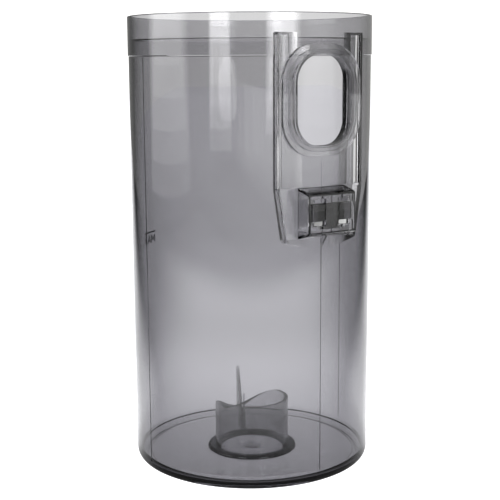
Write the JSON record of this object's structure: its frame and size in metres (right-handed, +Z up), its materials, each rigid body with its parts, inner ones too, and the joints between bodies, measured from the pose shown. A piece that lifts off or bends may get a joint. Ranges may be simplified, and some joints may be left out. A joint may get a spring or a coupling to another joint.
{
  "type": "vacuum cleaner dust canister",
  "caption": "Open-topped smoked clear dust canister with a closed floor, a side inlet in a stepped collar, a latch bracket with snap tongues, and a central socket.",
  "frame": {"origin": "centre of the canister's underside, on the surface that it stands on", "axes": "+Z up along the canister's axis; -Y is the way the inlet, the mounting plate and the latch bracket face; +X is to the right seen from the inlet's side"},
  "size_m": [0.13, 0.1384, 0.24],
  "materials": {
    "smoked_wall": "clear smoked polycarbonate, polished",
    "smoked_fittings": "clear smoked polycarbonate, polished, thick sections",
    "smoked_socket": "clear smoked polycarbonate, light satin",
    "print_black": "pad-printed ink"
  },
  "bodies": {
    "canister": {"canister_wall": "smoked_wall", "floor_disc": "smoked_wall", "corner_ring": "smoked_wall", "rim_band": "smoked_wall", "left_plate_wing": "smoked_wall", "right_plate_wing": "smoked_wall", "left_guide_rail": "smoked_wall", "right_guide_rail": "smoked_wall", "lower_apron": "smoked_wall", "inlet_flange": "smoked_fittings", "inlet_step": "smoked_fittings", "inlet_sleeve": "smoked_fittings", "latch_housing": "smoked_fittings", "latch_rib": "smoked_fittings", "latch_gusset": "smoked_fittings", "dust_socket": "smoked_socket", "socket_foot_ring": "smoked_socket", "anti_swirl_fin": "smoked_socket", "socket_spur": "smoked_socket", "gate_boss": "smoked_socket", "max_mark": "print_black"},
    "left_tongue": {"left_snap_tongue": "smoked_fittings"},
    "right_tongue": {"right_snap_tongue": "smoked_fittings"}
  },
  "joints": [
    {"name": "left_tongue_flex", "type": "hinge", "parent": "canister", "child": "left_tongue", "pos_m": [-0.0116, -0.0727, 0.143], "axis": [0, 0, 1], "range_deg": [-1.5, 10], "stiffness_Nm_per_rad": 0.05},
    {"name": "right_tongue_flex", "type": "hinge", "parent": "canister", "child": "right_tongue", "pos_m": [0.0116, -0.0727, 0.143], "axis": [0, 0, -1], "range_deg": [-1.5, 10], "stiffness_Nm_per_rad": 0.05}
  ]
}
